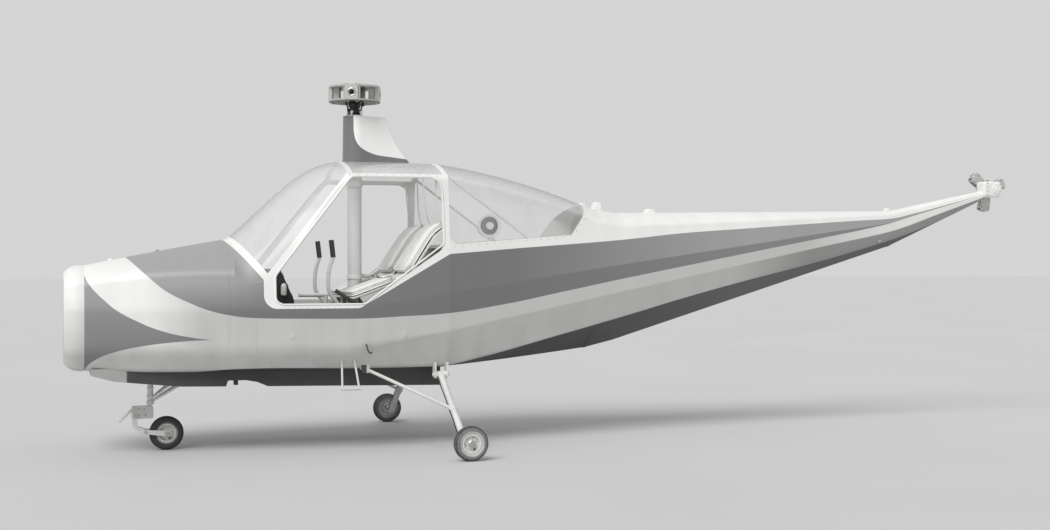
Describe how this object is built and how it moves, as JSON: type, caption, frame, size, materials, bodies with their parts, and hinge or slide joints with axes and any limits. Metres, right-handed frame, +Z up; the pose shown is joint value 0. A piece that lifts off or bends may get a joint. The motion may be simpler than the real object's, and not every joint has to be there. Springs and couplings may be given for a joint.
{
  "type": "light helicopter",
  "caption": "Light helicopter with a nose engine, glazed open-sided cabin, faired mast, creased slim tail and wheeled landing gear; rotor heads without blades.",
  "frame": {"origin": "on the floor the wheels stand on, halfway along, across and under the whole helicopter's box", "axes": "+X aft along the fuselage, +Y to starboard, +Z up"},
  "size_m": [9.376, 3.0838, 3.143],
  "materials": {
    "white_paint": "gloss white paint on sheet alloy",
    "striped_paint": "gloss paint in stripes of white, pale grey and mid grey",
    "grey_paint": "gloss mid grey paint",
    "dark_belly": "dull dark paint",
    "interior_metal": "matt grey paint",
    "engine_alloy": "cast alloy",
    "dark_steel": "black painted steel",
    "bare_tube": "pale painted tube and sheet",
    "gear_paint": "pale grey painted steel tube",
    "wheel_alloy": "cast alloy",
    "rotor_metal": "satin machined steel, part painted",
    "tyre_rubber": "black rubber",
    "dark_plastic": "black plastic and painted tube",
    "seat_cover": "pale padded vinyl with white piping",
    "window": "clear moulded acrylic"
  },
  "bodies": {
    "root": {"nose_bowl": "white_paint", "intake_grille": "dark_steel", "engine_block": "engine_alloy", "engine_cowl": "striped_paint", "firewall": "interior_metal", "cabin_tub": "striped_paint", "belly_tray": "dark_belly", "windscreen_base": "white_paint", "windscreen_strip": "white_paint", "windscreen_left": "window", "windscreen_right": "window", "door_frame_left": "white_paint", "door_frame_right": "white_paint", "roof_frame": "white_paint", "skylight_left": "window", "skylight_right": "window", "rear_window": "window", "rear_coaming": "white_paint", "tail_cone": "striped_paint", "tail_boom": "white_paint", "cabin_floor": "interior_metal", "rear_deck": "interior_metal", "mast_tube": "grey_paint", "mast_fairing": "grey_paint", "instrument_pedestal": "dark_plastic", "pedals": "dark_steel", "control_sticks": "dark_plastic", "collective_levers": "dark_plastic", "deck_ring": "white_paint", "rear_braces": "bare_tube", "seat_shells": "bare_tube", "seat_pan_left": "seat_cover", "seat_pan_right": "seat_cover", "seat_back_left": "seat_cover", "seat_back_right": "seat_cover", "main_legs": "gear_paint", "drag_braces": "gear_paint", "boarding_steps": "gear_paint", "nose_strut": "gear_paint", "tail_gearbox": "white_paint"},
    "nose_fork": {"nose_fork": "gear_paint"},
    "nose_wheel": {"nose_wheel": "wheel_alloy", "nose_tyre": "tyre_rubber"},
    "main_wheel_left": {"main_wheel_left": "wheel_alloy", "main_tyre_left": "tyre_rubber"},
    "main_wheel_right": {"main_wheel_right": "wheel_alloy", "main_tyre_right": "tyre_rubber"},
    "main_rotor": {"rotor_shaft": "dark_steel", "rotor_hub": "rotor_metal"},
    "tail_rotor": {"tail_rotor_hub": "rotor_metal"}
  },
  "joints": [
    {"name": "main_rotor_spin", "type": "hinge", "parent": "root", "child": "main_rotor", "pos_m": [-2.242, 0, 3.06], "axis": [0, 0, 1], "continuous": true},
    {"name": "tail_rotor_spin", "type": "hinge", "parent": "root", "child": "tail_rotor", "pos_m": [4.465, 0.14, 2.345], "axis": [0, 1, 0], "continuous": true},
    {"name": "nose_fork_steer", "type": "hinge", "parent": "root", "child": "nose_fork", "pos_m": [-3.99, 0, 0.4], "axis": [0, 0, 1], "range_deg": [-45, 45]},
    {"name": "nose_wheel_roll", "type": "hinge", "parent": "nose_fork", "child": "nose_wheel", "pos_m": [-3.857, 0, 0.142], "axis": [0, 1, 0], "continuous": true},
    {"name": "main_wheel_left_roll", "type": "hinge", "parent": "root", "child": "main_wheel_left", "pos_m": [-1.607, -1.495, 0.14], "axis": [0, 1, 0], "continuous": true},
    {"name": "main_wheel_right_roll", "type": "hinge", "parent": "root", "child": "main_wheel_right", "pos_m": [-1.607, 1.495, 0.14], "axis": [0, 1, 0], "continuous": true}
  ]
}
